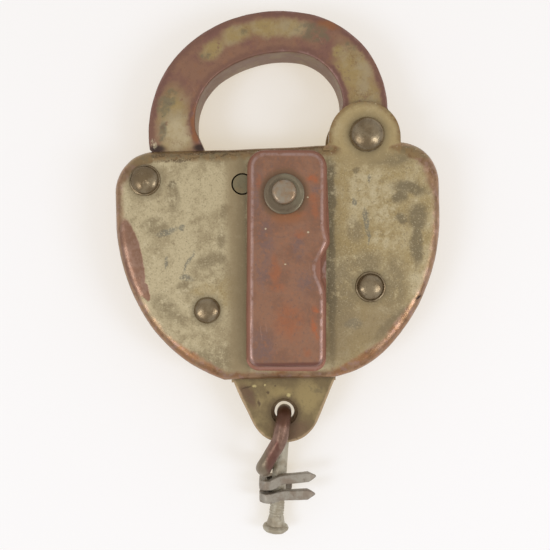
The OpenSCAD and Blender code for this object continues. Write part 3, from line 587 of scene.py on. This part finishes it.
def cover_finish():
    """The dust cover: red-brown metal with rust blooms, purple-grey clouds, a reddish rolled edge, a painted
    highlight along the edge's ridge and on the lip, and painted shade in the crease above the lip.
    """
    f = Finish("cover_metal")
    mottle = f.noise(1.5, 6, 0.68, seed=61)
    grain = f.noise(0.4, 3, 0.6, seed=62)
    cloud = f.noise(5.0, 5, 0.62, seed=63)
    edge = f.attribute("edge")
    colour = f.mix(paint(144, 104, 80), paint(132, 94, 72), f.ramp(cloud, 0.42, 0.6))
    purple = f.stains([(-4.6, 43.5, 1.7, 5), (-3.8, 25.5, 1.8, 3.4), (4.2, 31, 1.4, 2.8), (-4.4, 8, 2.6, 4),
                       (8.7, 44, 0.9, 1.2), (-3, 33, 2, 5), (6, 23, 2, 2.4)], 0.7)
    colour = f.mix(colour, paint(118, 94, 88), purple * f.ramp(mottle, 0.36, 0.56) * 0.7)
    blooms = f.stains([(8.3, 46.2, 1.2, 1.0), (8.2, 42, 1.3, 1.3), (2.6, 38.4, 3.4, 0.7, 4),
                       (4.8, 33.6, 1.3, 0.8),
                       (-1, 25, 1.0, 3.4), (-0.6, 21.4, 2, 1), (7.8, 12.4, 0.8, 2.6, 12),
                       (8.2, 16.4, 0.8, 0.8),
                       (5.8, 6.6, 0.9, 0.9), (2, 14, 3, 4), (8.4, 39, 1, 2), (-4.4, 46, 0.6, 1.6)], 0.6)
    colour = f.mix(colour, paint(158, 96, 62), blooms * f.ramp(mottle, 0.3, 0.6) * 0.8)
    fine = f.noise(0.8, 5, 0.7, seed=72)
    colour = f.mix(colour, paint(160, 106, 74), f.ramp(fine, 0.52, 0.66) * 0.5)
    colour = f.mix(colour, paint(112, 88, 80), f.ramp(fine, 0.46, 0.34) * 0.5)
    bright = f.stains([(8.4, 46.3, 0.7, 0.6), (7.9, 12, 0.5, 1.9, 12), (8.3, 16.2, 0.5, 0.5),
                       (3.2, 38.2, 1.6, 0.4)], 0.6)
    colour = f.mix(colour, EMBER, bright * f.ramp(grain, 0.35, 0.6) * 0.75)
    colour = f.mix(colour, paint(150, 100, 74), f.ramp(mottle, 0.56, 0.7) * 0.5)
    colour = f.mix(colour, paint(124, 92, 80), f.ramp(mottle, 0.42, 0.3) * 0.45)
    under = f.stain(1.5, 43.0, 5.7, 5.9, soft=0.12, at=f.wander(f.place, 0.25, 1.2, seed=70))
    colour = f.mix(colour, paint(112, 84, 58), under * 0.8)
    warm = f.stain(2.2, 37.6, 3.4, 1.3, soft=0.7, at=f.wander(f.place, 0.5, 1.8, seed=71))
    colour = f.mix(colour, paint(152, 98, 62), warm * 0.7)
    outer = f.ramp(edge + (mottle - 0.5) * 0.6, 1.1, 0.5)
    colour = f.mix(colour, paint(146, 96, 76), outer * 0.75)
    # Painted highlight: a pale lilac line along the ridge of the rounded edge.
    rim = f.ramp(edge, 0.75, 1.15) * f.ramp(edge, 1.8, 1.3) * f.ramp(mottle, 0.34, 0.56)
    colour = f.mix(colour, paint(172, 142, 134), rim * 0.75)
    height = f.axis("Y")
    # Painted shade: a dark red-brown band in the crease above the lip.
    crease_shade = f.ramp(height, 4.7, 4.2) * f.ramp(height, 3.2, 3.7)
    colour = f.mix(colour, paint(104, 60, 48), crease_shade * f.ramp(edge, 0.6, 1.6) * 0.8)
    # Painted highlight: a paler pink line along the lip's outer edge.
    lip_highlight = f.ramp(height, 3.6, 3.1)
    colour = f.mix(colour, paint(160, 118, 106), lip_highlight * f.ramp(edge, 0.2, 0.7) * 0.7)
    pale = f.stains([(6.8, 34.2, 0.24, 0.2), (-2.9, 35.2, 0.2, 0.2), (1.4, 27, 0.22, 0.14),
                     (6.9, 42.2, 0.2, 0.14)],
                    0.5, at=f.place)
    colour = f.mix(colour, PALE, pale * 0.85)
    pits = f.ramp(f.cells(1.3, seed=66), 0.13, 0.05)
    colour = f.mix(colour, UMBER, pits * 0.6)
    colour = f.mix(colour, paint(120, 80, 62), f.ramp(grain, 0.56, 0.7) * 0.35)
    scratches = scratch_marks(f, 68, 6)
    colour = f.mix(colour, ROSE, scratches * 0.35)
    f.set(base_color=colour, metallic=0.35 + rim * 0.3, roughness=0.46 - rim * 0.1 + (mottle - 0.5) * 0.3)
    f.relief(mottle * 0.5 + grain * 0.3 - pits * 0.5 - scratches * 0.2 + blooms * 0.2, 0.06)
    return f.material


def lug_finish():
    """The chain lug: olive-tan metal, darker round its hole, with pits, painted highlights along its edges
    and painted shade where it goes under the case.
    """
    f = Finish("lug_metal")
    mottle = f.noise(1.6, 6, 0.66, seed=81)
    grain = f.noise(0.4, 3, 0.6, seed=82)
    cloud = f.noise(5.0, 4, 0.6, seed=83)
    edge = f.attribute("edge")
    colour = f.mix(paint(146, 127, 86), paint(122, 104, 70), f.ramp(cloud, 0.42, 0.6))
    colour = f.mix(colour, paint(160, 140, 92), f.stains([(6, -5, 3, 3), (0, -3.5, 3, 1.4)], 0.6) * 0.6)
    colour = f.mix(colour, paint(104, 76, 58),
                   f.stains([(2, -12.6, 5, 2.6), (-8.4, -4, 1.2, 3.4, 30)], 0.5) * 0.75)
    ring = f.stain(0.5, -8.35, 4.0, 4.0, soft=0.2, at=f.wander(f.place, 0.3, 1.2, seed=84))
    colour = f.mix(colour, UMBER, ring * 0.6)
    colour = f.mix(colour, MOSS, f.ramp(mottle, 0.54, 0.68) * 0.6)
    specks = f.stains([(-3.4, -3.8, 0.5, 0.2), (-1.6, -2.2, 0.3, 0.25), (-8.4, -2.2, 0.9, 0.25, 10),
                       (-5.6, -6, 0.3, 0.8)],
                      0.5)
    colour = f.mix(colour, UMBER, specks * 0.8)
    light = f.stains([(-6.9, -2, 0.45, 0.4), (-4, -1.8, 0.25, 0.25), (1.6, -4.4, 0.4, 0.5)], 0.5)
    colour = f.mix(colour, paint(205, 188, 130), light * 0.8)
    # Painted highlight: a pale band along the lug's rounded edges, below its top.
    rim = f.ramp(edge + (mottle - 0.5) * 0.8, 0.75, 0.3)
    colour = f.mix(colour, paint(186, 160, 128), rim * f.ramp(f.axis("Y"), 0.5, -1) * 0.7)
    # Painted shade: darker along the top, where the lug goes under the case's front edge.
    colour = f.mix(colour, UMBER, f.ramp(f.axis("Y"), -1.4, 0.2) * 0.6)
    colour = f.mix(colour, UMBER, f.ramp(grain, 0.56, 0.7) * 0.35)
    f.set(base_color=colour, metallic=0.35 + rim * 0.3, roughness=0.45 + (mottle - 0.5) * 0.35)
    f.relief(mottle * 0.5 + grain * 0.35 - specks * 0.6, 0.07)
    return f.material


def plain_metal(name, main, second, dirt, metallic, roughness, seed, relief=0.05, size=1.4, dirty=0.5):
    """A metal with two tones, dirt in its pits and an uneven shine."""
    f = Finish(name)
    mottle = f.noise(size, 6, 0.66, seed=seed)
    grain = f.noise(size * 0.28, 3, 0.6, seed=seed + 1)
    colour = f.mix(main, second, f.ramp(f.noise(size * 3, 4, 0.6, seed=seed + 2), 0.42, 0.6))
    colour = f.mix(colour, dirt, f.ramp(mottle, 0.54, 0.7) * dirty)
    colour = f.mix(colour, dirt, f.ramp(grain, 0.56, 0.7) * dirty * 0.6)
    f.set(base_color=colour, metallic=metallic, roughness=roughness + (mottle - 0.5) * 0.3)
    f.relief(mottle * 0.6 + grain * 0.3, relief)
    return f.material


def nail_finish():
    """The nail: brown where it has been handled, grey-green scale on the shank and head."""
    f = Finish("nail_metal")
    mottle = f.noise(1.1, 6, 0.66, seed=101)
    grain = f.noise(0.3, 3, 0.6, seed=102)
    scale = f.mix(paint(182, 174, 154), paint(158, 146, 124), f.ramp(f.noise(3, 4, 0.6, seed=103), 0.42, 0.6))
    brown = f.mix(paint(136, 106, 90), paint(112, 84, 68), f.ramp(f.noise(3, 4, 0.6, seed=104), 0.42, 0.6))
    height = f.axis("Z")
    front = f.ramp(height + (mottle - 0.5) * 2, 8.2, 9.6)
    colour = f.mix(scale, brown, front)
    near_hole = f.stain(0.5, -8.6, 2.6, 2.8, soft=0.3, at=f.place)
    colour = f.mix(colour, paint(92, 58, 40), near_hole * front * 0.85)
    turned_end = f.ramp(f.axis("X") + (mottle - 0.5) * 2, -3.2, -4.6)
    colour = f.mix(colour, paint(134, 122, 100), turned_end * front * 0.8)
    colour = f.mix(colour, paint(96, 54, 44),
                   f.stains([(-2.6, -19, 1.0, 2.6, -20), (-1.4, -16, 0.7, 1.6)], 0.5) * front * 0.7)
    colour = f.mix(colour, UMBER, f.ramp(mottle, 0.56, 0.7) * 0.45)
    colour = f.mix(colour, UMBER, f.ramp(grain, 0.58, 0.7) * 0.3)
    colour = f.mix(colour, paint(168, 148, 108), f.ramp(grain, 0.42, 0.3) * (1 - front) * 0.4)
    f.set(base_color=colour, metallic=0.3 + front * 0.25,
          roughness=0.52 - front * 0.12 + (mottle - 0.5) * 0.3)
    f.relief(mottle * 0.6 + grain * 0.35, 0.09)
    return f.material


# ---------------------------------------------------------------- pieces

case_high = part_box("front_plate")[1]
CASE_H, SHOULDER_RISE, RISE_START = 54.5, 1.0, -12.0
HALF_W = case_high.x / MM
SIDE_R, SIDE_Y = 45.0, 38.2
LOW_SIDES = {-1: (35.2, math.radians(31)), 1: (25.9, math.radians(42))}
CORNERS = {-1: 9.6, 1: 9.8}
PIVOT = centre_of("shackle_rivet")
EAR_X, EAR_Y, EAR_R = PIVOT.x / MM - 0.5, (PIVOT.y - CASE_FOOT) / MM - 0.5, 8.4


def case_inset(co):
    """How far a point lies inside the case's outline or its ear, in millimetres."""
    x, y = co.x / MM, (co.y - CASE_FOOT) / MM
    sign = 1 if x > 0 else -1
    across = abs(x)
    low_r, turn = LOW_SIDES[sign]
    up_x = HALF_W - SIDE_R
    down_x = up_x + (SIDE_R - low_r) * math.cos(turn)
    down_y = SIDE_Y - (SIDE_R - low_r) * math.sin(turn)
    corner = CORNERS[sign]
    shoulder = CASE_H + (SHOULDER_RISE if sign > 0 else 0)
    side = HALF_W - across
    if math.atan2(y - SIDE_Y, across - up_x) < -turn:
        side = low_r - math.hypot(across - down_x, y - down_y)
    elif y < SIDE_Y:
        side = SIDE_R - math.hypot(across - up_x, y - SIDE_Y)
    elif across > HALF_W - corner and y > shoulder - corner:
        side = corner - math.hypot(across - HALF_W + corner, y - shoulder + corner)
    climb = (x - RISE_START) / (HALF_W - CORNERS[1] - RISE_START)
    inset = min(side, y, CASE_H + SHOULDER_RISE * min(max(climb, 0), 1) - y)
    ear = EAR_R - math.hypot(x - EAR_X, max(y - EAR_Y, 0))
    return max(inset, ear if y > CASE_H - 5 else 0, 0)


def make_front():
    piece = copy_of("front_plate", "front_shell")
    worn_edges(piece, 0.22, 2, 50)
    cut_in_grid(piece, 1.6)
    top = case_high.z - 2.9 * MM

    def outside(co, normal):
        return 1.0 if co.z > top and normal.z > -0.3 else 0.0

    dents(piece, 9, 0.2, 1, lambda co, n: outside(co, n) * (1.0 if n.z > 0.5 else 0.5))
    dents(piece, 3, 0.07, 2, lambda co, n: outside(co, n) * (1.0 if case_inset(co) < 3.2 else 0.3))
    mark(piece, "edge", case_inset)
    smooth(piece, 32)
    piece.data.materials.append(case_finish("case_front", True))
    stands_for(piece, "front_plate")


def make_back():
    piece = copy_of("back_plate", "back_shell")
    cut_in_grid(piece, 2.0)
    dents(piece, 8, 0.2, 3, lambda co, n: 1.0 if n.z < -0.2 and co.z < 2.6 * MM else 0.0)
    mark(piece, "edge", case_inset)
    smooth(piece, 32)
    piece.data.materials.append(case_finish("case_back", False))
    stands_for(piece, "back_plate")


def make_bow():
    piece = copy_of("shackle", "bow")
    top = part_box("shackle")[1].z
    distance = outline_distance(piece, top)
    worn_edges(piece, 0.95, 4, 50)
    cut_in_grid(piece, 1.6, "XYZ")
    dents(piece, 10, 0.22, 4, lambda co, n: 1.0 if n.z > 0.5 else 0.4)
    dents(piece, 2.6, 0.05, 5)
    mark(piece, "edge", distance)
    smooth(piece, 40)
    piece.data.materials.append(bow_finish())
    stands_for(piece, "shackle")


def make_cover():
    piece = copy_of("dust_cover", "cover_plate")
    distance = outline_distance(piece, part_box("dust_cover")[0].z)
    worn_edges(piece, 0.9, 4, 50)
    cut_in_grid(piece, 1.4)
    dents(piece, 8, 0.16, 6, lambda co, n: 1.0 if n.z > 0.1 else 0.0)
    dents(piece, 2.6, 0.05, 7, lambda co, n: 1.0 if n.z > 0.1 else 0.0)
    mark(piece, "edge", distance)
    smooth(piece, 40)
    piece.data.materials.append(cover_finish())
    stands_for(piece, "dust_cover")


def make_lug():
    piece = copy_of("chain_lug", "lug_plate")
    distance = outline_distance(piece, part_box("chain_lug")[0].z)
    worn_edges(piece, 0.35, 3, 50)
    cut_in_grid(piece, 1.4)
    dents(piece, 5, 0.2, 8, lambda co, n: 1.0 if co.y < CASE_FOOT - 0.6 * MM else 0.0)
    mark(piece, "edge", distance)
    smooth(piece, 40)
    piece.data.materials.append(lug_finish())
    stands_for(piece, "chain_lug")


def make_rivet(node, name, head, dome, crown, seat, metal, seed, dimple=None):
    """A hammered rivet: a peened back head, a shank and a domed head in a pressed ring."""
    low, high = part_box(node)
    centre = (low + high) / 2
    top = high.z / MM
    plate = top - crown
    shank = seat
    back = head - 0.2
    profile = [(back * 0.62, 0), (back * 0.84, 0.22), (back * 0.96, 0.66), (back, 1.19), (shank, 1.2),
               (shank, plate), (head - 0.12, plate), (head, plate + 0.12), (head - 0.12, plate + 0.3),
               (head - 0.4, plate + 0.36), (dome + 0.12, plate + 0.2), (dome, plate + 0.34)]
    rise = top - (plate + 0.34)
    for k in range(1, 8):
        angle = math.radians(90 * k / 8)
        profile.append((max(dome * math.cos(angle), 0.1), plate + 0.34 + rise * math.sin(angle)))
    piece = turned(name, centre, profile)

    def on_head(co, normal):
        return 1.0 if co.z > (plate + 0.05) * MM else 0.0

    dents(piece, 1.7, 0.08, seed, on_head)
    if dimple:
        pit = Vector((centre.x + dimple[0] * MM, centre.y + dimple[1] * MM, high.z))
        for v in piece.data.vertices:
            reach = (Vector((v.co.x, v.co.y, pit.z)) - pit).length / (dimple[2] * MM)
            if v.co.z > plate * MM + 0.0005 and reach < 1:
                v.co.z -= dimple[3] * MM * (1 - reach * reach)
    for v in piece.data.vertices:
        v.co.z = min(max(v.co.z, 0.0), high.z)
    smooth(piece, 40)
    piece.data.materials.append(metal)
    stands_for(piece, node)


def make_rivets():
    metal = plain_metal("rivet_metal", paint(142, 126, 100), paint(120, 102, 76), paint(74, 58, 38),
                        0.68, 0.28, 121,
                        0.06, 1.2, 0.5)
    make_rivet("rivet_top_left", "rivet_head_top_left", 3.7, 3.25, 1.6, 1.6, metal, 31,
               (0.4, -0.9, 0.8, 0.25))
    make_rivet("rivet_lower_left", "rivet_head_lower_left", 3.1, 2.95, 1.6, 1.6, metal, 32)
    make_rivet("rivet_lower_right", "rivet_head_lower_right", 3.6, 2.95, 1.6, 1.6, metal, 33)
    make_rivet("shackle_rivet", "pivot_head", 4.1, 4.0, 2.377, 3.0, metal, 34, (-0.2, 0.6, 0.9, 0.3))


def make_cover_rivet():
    low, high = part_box("cover_rivet")
    centre = (low + high) / 2
    top, base = high.z / MM, low.z / MM
    profile = [(2.78, base), (2.8, base + 0.4), (2.0, base + 0.4), (2.0, top - 1.3), (2.75, top - 1.3),
               (2.85, top - 1.1), (2.83, top - 0.7), (2.7, top - 0.4), (2.45, top - 0.16), (2.1, top - 0.05),
               (1.3, top), (0.6, top - 0.02), (0.1, top - 0.03)]
    piece = turned("cover_rivet_head", centre, profile)
    dents(piece, 1.8, 0.12, 41, lambda co, n: 1.0 if co.z > (top - 1.2) * MM else 0.0)
    for v in piece.data.vertices:
        v.co.z = min(v.co.z, high.z)
    smooth(piece, 40)
    metal = plain_metal("cover_rivet_metal", paint(152, 140, 122), paint(150, 124, 96),
                        paint(104, 82, 60), 0.6,
                        0.34, 131, 0.05, 1.4, 0.4)
    piece.data.materials.append(metal)
    stands_for(piece, "cover_rivet")


def make_washer():
    low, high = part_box("cover_washer")
    centre = (low + high) / 2
    base, top = low.z / MM, high.z / MM
    outer = (high.x - low.x) / 2 / MM
    profile = [(2.4, base), (outer - 0.08, base), (outer, base + 0.2), (outer - 0.04, top - 0.16),
               (outer - 0.22, top - 0.02), (outer - 0.5, top), (outer - 0.9, top - 0.12), (3.5, top - 0.2),
               (3.15, top - 0.16), (2.4, top - 0.18)]
    sides = 64
    bpy.ops.object.select_all(action="DESELECT")
    bpy.ops.mesh.primitive_circle_add(vertices=sides, radius=profile[0][0] * MM, fill_type="NOTHING",
                                      location=(centre.x, centre.y, profile[0][1] * MM))
    piece = bpy.context.object
    piece.name = piece.data.name = "cover_ring"
    bpy.ops.object.transform_apply(location=True)
    edit(piece, "EDGE")
    for (r0, z0), (r1, z1) in zip(profile, profile[1:] + profile[:1]):
        bpy.ops.mesh.extrude_edges_move(TRANSFORM_OT_translate={"value": (0, 0, (z1 - z0) * MM)})
        bpy.ops.transform.resize(value=(r1 / r0, r1 / r0, 1), center_override=(centre.x, centre.y, z1 * MM))
    bpy.ops.mesh.select_all(action="SELECT")
    bpy.ops.mesh.remove_doubles(threshold=1e-6)
    bpy.ops.mesh.normals_make_consistent(inside=False)
    done()
    dents(piece, 3, 0.1, 42, lambda co, n: 1.0 if n.z > 0.1 else 0.0)
    for v in piece.data.vertices:
        v.co.z = min(v.co.z, high.z)
    smooth(piece, 40)
    metal = plain_metal("washer_metal", paint(124, 114, 92), paint(112, 98, 78), paint(88, 70, 52),
                        0.5, 0.42, 141,
                        0.05, 1.6, 0.45)
    piece.data.materials.append(metal)
    stands_for(piece, "cover_washer")


def make_nail():
    piece = copy_of("bent_nail", "hooked_nail")
    finish_with(piece, "SUBSURF", levels=1, render_levels=1, subdivision_type="SIMPLE")
    dents(piece, 1.6, 0.1, 51)
    dents(piece, 5, 0.16, 52)
    swell(piece, 0.06)
    floor_height = cad_box[0].z
    for v in piece.data.vertices:
        v.co.z = max(v.co.z, floor_height)
    smooth(piece, 50)
    piece.data.materials.append(nail_finish())
    stands_for(piece, "bent_nail")


def make_wire():
    piece = copy_of("wire_staple", "wire_wrap")
    worn_edges(piece, 0.45, 3, 50)
    finish_with(piece, "SUBSURF", levels=1, render_levels=1, subdivision_type="SIMPLE")
    dents(piece, 1.3, 0.16, 53)
    for v in piece.data.vertices:
        v.co.z = max(v.co.z, cad_box[0].z)
    smooth(piece, 50)
    metal = plain_metal("wire_metal", paint(156, 148, 134), paint(138, 124, 108), paint(96, 74, 58),
                        0.35, 0.5, 151,
                        0.1, 0.9, 0.55)
    piece.data.materials.append(metal)
    stands_for(piece, "wire_staple")


def finish_lock_work():
    """The hidden work keeps its CAD shapes and gets dull brass, steel and spring finishes."""
    brass = plain_metal("work_brass", BRASS, OLIVE, UMBER, 0.6, 0.4, 161)
    steel = plain_metal("work_steel", paint(138, 134, 122), GREEN_GREY, UMBER, 0.6, 0.42, 171)
    spring = plain_metal("spring_steel", paint(112, 108, 104), BLUE_GREY, UMBER, 0.7, 0.36, 181)
    flush = plain_metal("guide_metal", paint(128, 118, 90), OLIVE, UMBER, 0.45, 0.45, 191)
    finishes = {"work": brass, "spring": spring, "post": steel, "flush": flush}
    for name, node in frame["nodes"].items():
        kind = "work" if name in ("bolt", "bolt_stump", "lever_1", "lever_2", "lever_3") else "post"
        kind = "spring" if name.startswith("lever_spring") else kind
        kind = "flush" if name == "guide_post" else kind
        node.data.materials.clear()
        node.data.materials.append(finishes[kind])


# ---------------------------------------------------------------- the set


def make_set():
    """Pale floor that glows warm, painted light that lifts and warms the shadows on it; white surroundings,
    two soft lamps and the camera.
    """
    bpy.ops.object.select_all(action="DESELECT")
    bpy.ops.mesh.primitive_plane_add(size=6.0, location=(0, 0, 0))
    floor = bpy.context.object
    floor.name = "floor"
    f = Finish("glowing_floor")
    # The floor's warm glow under a bluish colour is painted light: the lit floor comes out white and the
    # shadows on it lighter and warm.
    f.set(base_color=(0.42, 0.49, 0.62, 1.0), roughness=0.9, emission_color=(0.545, 0.455, 0.31, 1.0),
          emission_strength=1.0, specular_ior_level=0.0)
    floor.data.materials.append(f.material)

    world = bpy.data.worlds.new("surroundings")
    bpy.context.scene.world = world
    world.use_nodes = True
    tree = world.node_tree
    tree.nodes.clear()
    rays = tree.nodes.new("ShaderNodeLightPath")
    seen = tree.nodes.new("ShaderNodeMath")
    seen.operation = "MAXIMUM"
    tree.links.new(rays.outputs["Is Camera Ray"], seen.inputs[0])
    tree.links.new(rays.outputs["Is Transmission Ray"], seen.inputs[1])
    soft = tree.nodes.new("ShaderNodeBackground")
    soft.inputs["Strength"].default_value = 0.72
    direction = tree.nodes.new("ShaderNodeTexCoord")
    parts = tree.nodes.new("ShaderNodeSeparateXYZ")
    sky = tree.nodes.new("ShaderNodeMix")
    sky.data_type = "RGBA"
    sky.inputs[6].default_value = (0.84, 0.88, 1.0, 1)
    sky.inputs[7].default_value = (1.0, 0.975, 0.94, 1)
    tree.links.new(direction.outputs["Generated"], parts.inputs[0])
    tree.links.new(parts.outputs["Z"], sky.inputs[0])
    tree.links.new(sky.outputs[2], soft.inputs["Color"])
    white = tree.nodes.new("ShaderNodeBackground")
    white.inputs["Color"].default_value = (1, 1, 1, 1)
    white.inputs["Strength"].default_value = 1.0
    choose = tree.nodes.new("ShaderNodeMixShader")
    out = tree.nodes.new("ShaderNodeOutputWorld")
    tree.links.new(seen.outputs[0], choose.inputs[0])
    tree.links.new(soft.outputs[0], choose.inputs[1])
    tree.links.new(white.outputs[0], choose.inputs[2])
    tree.links.new(choose.outputs[0], out.inputs[0])

    for name, place, power, wide, high in (("lamp_left", (-0.30, -0.14, 0.42), 0.62, 0.16, 0.2),
                                           ("lamp_right", (0.30, -0.10, 0.34), 0.48, 0.12, 0.2)):
        data = bpy.data.lights.new(name, "AREA")
        data.shape = "RECTANGLE"
        data.size, data.size_y = wide, high
        data.energy = power
        data.color = (0.97, 0.98, 1.0)
        lamp = bpy.data.objects.new(name, data)
        lamp.location = place
        lamp.rotation_euler = (-Vector(place)).to_track_quat("-Z", "Y").to_euler()
        lamp.visible_camera = False
        bpy.context.scene.collection.objects.link(lamp)

    data = bpy.data.cameras.new("camera")
    data.lens, data.sensor_width = 48.96, 36.0
    data.clip_start = 0.01
    camera = bpy.data.objects.new("camera", data)
    camera.location = (-0.0010, CASE_FOOT + 0.0246, 0.1901)
    camera.rotation_euler = (0, 0, -math.radians(1.3))
    bpy.context.scene.collection.objects.link(camera)
    bpy.context.scene.camera = camera
    bpy.context.scene.view_settings.view_transform = "Standard"


make_set()
finish_lock_work()
make_front()
make_back()
make_bow()
make_cover()
make_lug()
make_rivets()
make_cover_rivet()
make_washer()
make_nail()
make_wire()
